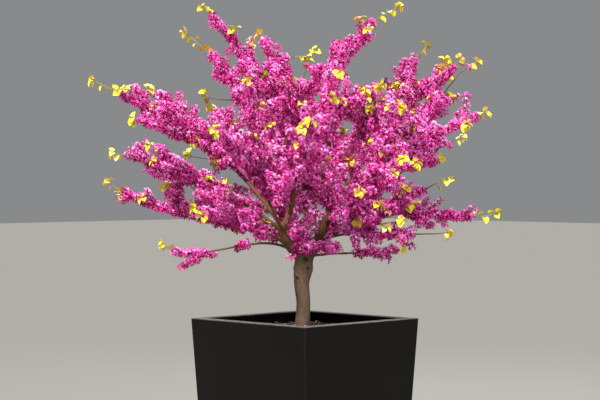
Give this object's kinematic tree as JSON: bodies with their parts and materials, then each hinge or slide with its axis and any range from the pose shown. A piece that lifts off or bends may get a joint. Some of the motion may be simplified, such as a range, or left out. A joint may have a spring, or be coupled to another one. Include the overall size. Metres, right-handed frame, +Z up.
{
  "type": "redbud tree in a square planter",
  "caption": "Small many-branched redbud tree in full pink blossom with young leaves at its tips, standing in a tapered square planter with an inward lip.",
  "frame": {"origin": "middle of the planter's flat underside", "axes": "+Z up the trunk, +X and +Y along the planter's sides; the picture looks over the planter's corner from (+X, -Y)"},
  "size_m": [1.2628, 1.2354, 1.7655],
  "materials": {
    "planter": "satin",
    "soil": "matte",
    "bark": "matte",
    "blossom": "matte"
  },
  "bodies": {
    "root": {"centre_leader": "bark", "fork_spray": "bark", "fork_spray_blossom": "blossom", "front_left": "bark", "front_left_blossom": "blossom", "front_low_left": "bark", "front_low_left_blossom": "blossom", "front_low_right": "bark", "front_low_right_blossom": "blossom", "front_middle": "bark", "front_middle_blossom": "blossom", "front_right": "bark", "front_right_blossom": "blossom", "left_high": "bark", "left_high_blossom": "blossom", "left_leader": "bark", "left_low": "bark", "left_low_blossom": "blossom", "left_mid": "bark", "left_mid_blossom": "blossom", "low_left": "bark", "low_left_blossom": "blossom", "low_right": "bark", "low_right_blossom": "blossom", "low_twig_right": "bark", "low_twig_right_blossom": "blossom", "planter": "planter", "rear_high_left": "bark", "rear_high_left_blossom": "blossom", "rear_high_right": "bark", "rear_high_right_blossom": "blossom", "rear_leader": "bark", "rear_low_left": "bark", "rear_low_left_blossom": "blossom", "rear_low_right": "bark", "rear_low_right_blossom": "blossom", "rear_middle": "bark", "rear_middle_blossom": "blossom", "rear_top": "bark", "rear_top_blossom": "blossom", "right_high": "bark", "right_high_blossom": "blossom", "right_leader": "bark", "right_low": "bark", "right_low_blossom": "blossom", "right_mid": "bark", "right_mid_blossom": "blossom", "right_upper": "bark", "right_upper_blossom": "blossom", "soil": "soil", "top": "bark", "top_blossom": "blossom", "top_inner": "bark", "top_inner_blossom": "blossom", "top_left": "bark", "top_left_blossom": "blossom", "top_right": "bark", "top_right_blossom": "blossom", "trunk": "bark"}
  },
  "joints": []
}
